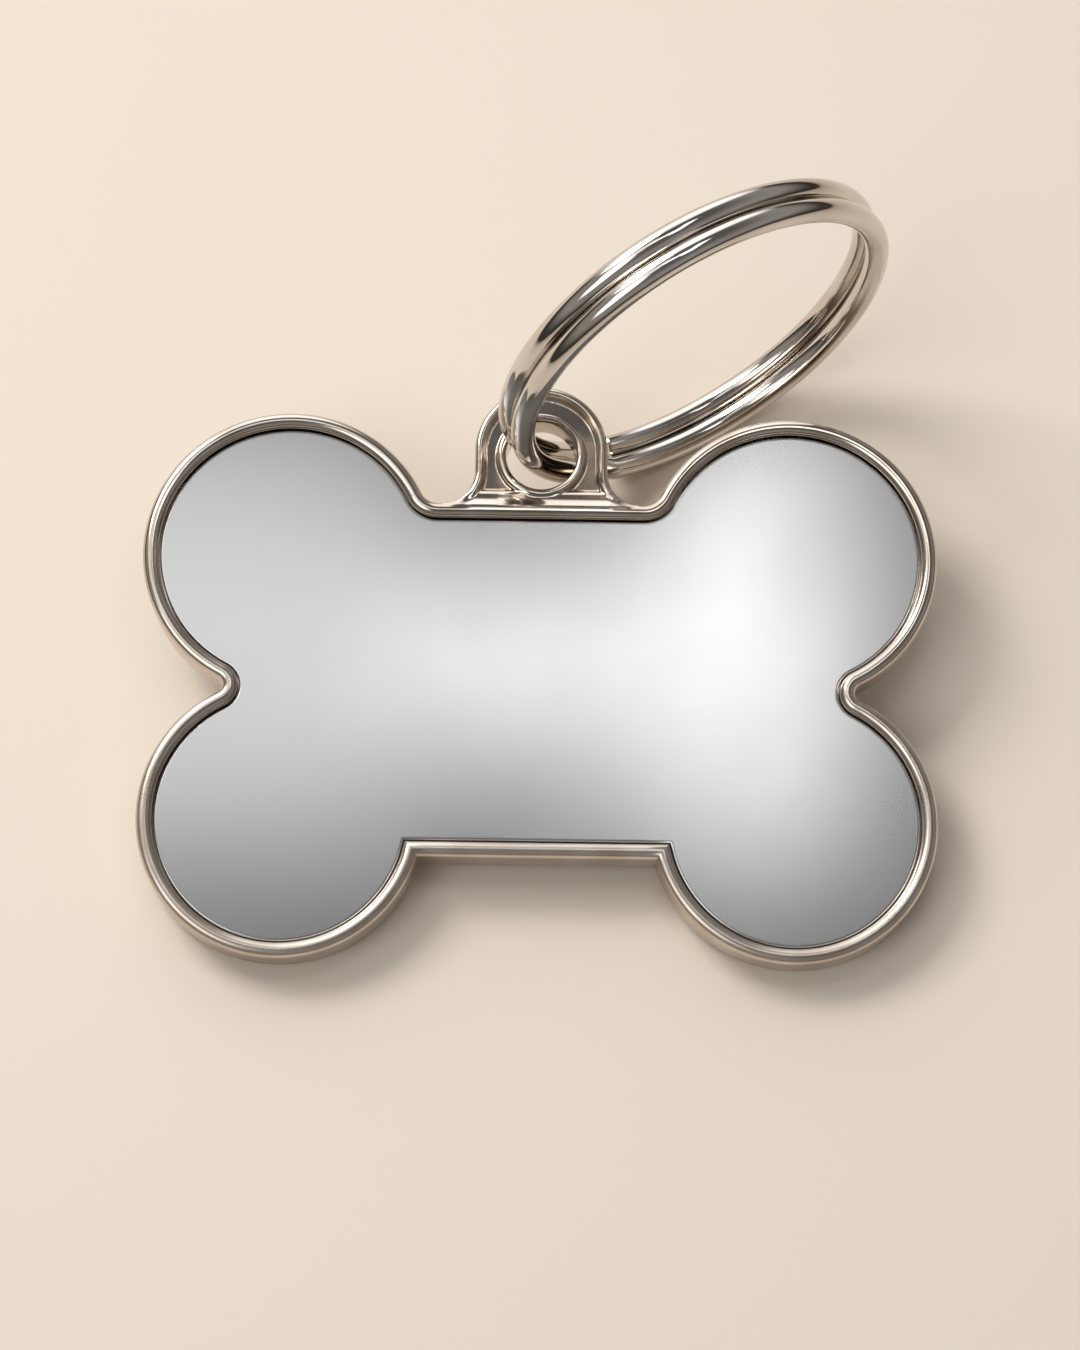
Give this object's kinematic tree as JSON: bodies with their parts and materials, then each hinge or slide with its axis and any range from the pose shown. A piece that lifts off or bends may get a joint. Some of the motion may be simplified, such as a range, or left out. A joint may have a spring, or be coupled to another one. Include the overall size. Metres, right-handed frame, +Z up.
{
  "type": "pet id tag",
  "caption": "Bone-shaped pet tag with a raised polished rim, a satin face plate and a pierced eyelet, on a two-turn split ring.",
  "frame": {"origin": "on the table, below the middle of the whole object's box", "axes": "+Z up, away from the table; +X along the tag's two straight bars, the bone's long way; +Y from the bone towards its eyelet and ring"},
  "size_m": [0.038, 0.0344, 0.0205],
  "materials": {
    "polished_nickel": "polished nickel plating on cast zinc",
    "satin_plate": "satin",
    "adhesive": "matt film, hidden",
    "ring_wire": "polished nickel-plated steel wire"
  },
  "bodies": {
    "tag": {"frame": "polished_nickel", "face_plate": "satin_plate", "adhesive_film": "adhesive"},
    "ring": {"split_ring": "ring_wire"}
  },
  "joints": [
    {"name": "ring_swing", "type": "hinge", "parent": "tag", "child": "ring", "pos_m": [0.00213, 0.00849, 0.00517], "axis": [0.4924, -0.8704, 0], "range_deg": [-70, 4]}
  ]
}
